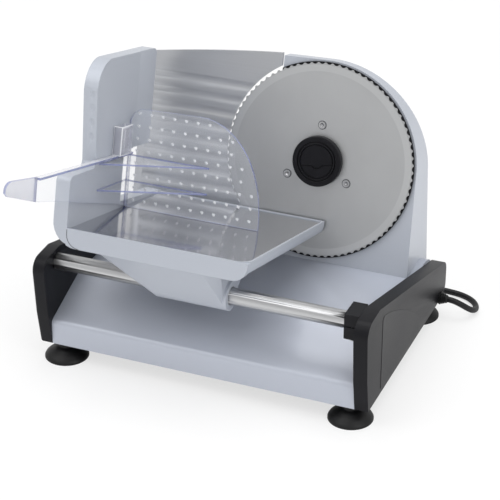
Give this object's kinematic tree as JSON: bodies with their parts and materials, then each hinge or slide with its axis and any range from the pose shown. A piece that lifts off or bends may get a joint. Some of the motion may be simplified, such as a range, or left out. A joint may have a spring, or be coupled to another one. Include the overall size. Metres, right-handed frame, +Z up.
{
  "type": "electric food slicer",
  "caption": "Electric food slicer with a leaning round blade, thickness plate, sliding food carriage, clear pusher and suction feet.",
  "frame": {"origin": "on the table under the middle of the box round the slicer, without its lead", "axes": "+X along the carriage rod, to the right as seen from the carriage's side; +Y to the back; +Z up"},
  "size_m": [0.3651, 0.4785, 0.286],
  "materials": {
    "silver_paint": "satin silver paint",
    "silver_plastic": "silver paint on plastic",
    "dark_plastic": "fine grain",
    "grey_plastic": "fine grain",
    "red_plastic": "smooth",
    "clear_plastic": "clear with bluish edges",
    "nylon": "smooth",
    "rubber": "matt",
    "cord_rubber": "smooth, matt",
    "chrome": "polished",
    "blade_steel": "satin, brushed round",
    "mirror_steel": "mirror polished",
    "screw_steel": "zinc plated",
    "plate_aluminium": "satin anodised",
    "motor_iron": "dull grey",
    "copper": "copper",
    "board": "circuit board"
  },
  "bodies": {
    "base": {"base_shell": "silver_paint", "bottom_plate": "motor_iron", "bottom_screws": "screw_steel", "end_cap_left": "dark_plastic", "end_cap_right": "dark_plastic", "cap_screws": "screw_steel", "foot_front_left": "rubber", "foot_front_right": "rubber", "foot_rear_left": "rubber", "foot_rear_right": "rubber", "foot_screws": "screw_steel", "carriage_rod": "chrome", "rod_clamp_lower": "dark_plastic", "rod_clamp_upper": "dark_plastic", "clamp_screws": "screw_steel", "motor_housing": "silver_plastic", "housing_screws": "screw_steel", "rear_cover": "silver_plastic", "rear_cover_screws": "screw_steel", "spindle": "screw_steel", "motor_core": "motor_iron", "motor_windings": "copper", "motor_bridge_lower": "motor_iron", "motor_bridge_upper": "motor_iron", "brush_holders": "copper", "control_board": "board", "switch_body": "dark_plastic", "inner_leads": "copper", "thickness_block": "dark_plastic", "block_screws": "screw_steel", "strain_relief": "cord_rubber", "power_cord": "cord_rubber", "cord_coil": "cord_rubber", "plug_body": "cord_rubber", "plug_pins": "chrome"},
    "blade_disc": {"blade": "blade_steel", "drive_gear": "nylon", "blade_screws": "screw_steel"},
    "lock": {"blade_lock": "dark_plastic"},
    "rotor": {"motor_armature": "screw_steel", "worm": "screw_steel", "cooling_fan": "dark_plastic"},
    "knob": {"thickness_knob": "dark_plastic"},
    "thickness_plate": {"guide_plate": "plate_aluminium", "guide_carrier": "dark_plastic", "slide_rods": "chrome", "setting_screw": "screw_steel", "guide_screws": "screw_steel"},
    "carriage": {"carriage_body": "silver_plastic", "carriage_tray": "silver_plastic", "tray_sheet": "mirror_steel", "tray_screws": "screw_steel", "slide_bushes": "nylon", "glide_leg": "dark_plastic", "glide_shoe": "nylon"},
    "food_pusher": {"pusher": "clear_plastic", "pusher_clip": "clear_plastic"},
    "power_key": {"power_button": "grey_plastic"},
    "safety_key": {"safety_slider": "red_plastic"}
  },
  "joints": [
    {"name": "blade_spin", "type": "hinge", "parent": "base", "child": "blade_disc", "pos_m": [0.0452, 0.1296, 0.1627], "axis": [0, 0.9655, -0.2605], "continuous": true},
    {"name": "lock_turn", "type": "hinge", "parent": "blade_disc", "child": "lock", "pos_m": [0.0452, 0.1296, 0.1627], "axis": [0, 0.9655, -0.2605], "range_deg": [0, 80]},
    {"name": "rotor_spin", "type": "hinge", "parent": "base", "child": "rotor", "pos_m": [0.0847, 0.15036, 0.1571], "axis": [0, 0.2605, 0.9655], "continuous": true},
    {"name": "knob_turn", "type": "hinge", "parent": "base", "child": "knob", "pos_m": [-0.086, 0.11475, 0.10767], "axis": [0, 0.9655, -0.2605], "range_deg": [-160, 140]},
    {"name": "plate_slide", "type": "slide", "parent": "base", "child": "thickness_plate", "axis": [0, 0.9655, -0.2605], "range_m": [-0.00798, 0.00698]},
    {"name": "carriage_slide", "type": "slide", "parent": "base", "child": "carriage", "axis": [1, 0, 0], "range_m": [-0.055, 0.105]},
    {"name": "pusher_slide", "type": "slide", "parent": "carriage", "child": "food_pusher", "axis": [0, 0.9655, -0.2605], "range_m": [-0.06, 0.07]},
    {"name": "power_press", "type": "slide", "parent": "base", "child": "power_key", "axis": [0, -1, 0], "range_m": [0, 0.003], "stiffness_N_per_m": 300, "springref_m": -0.001},
    {"name": "safety_press", "type": "slide", "parent": "base", "child": "safety_key", "axis": [-1, 0, 0], "range_m": [0, 0.006], "stiffness_N_per_m": 200, "springref_m": -0.001}
  ],
  "couplings": [
    {"joint": "rotor_spin", "follows": "blade_spin", "ratio": 22},
    {"joint": "knob_turn", "follows": "plate_slide", "rad_per_m": 349.65}
  ]
}
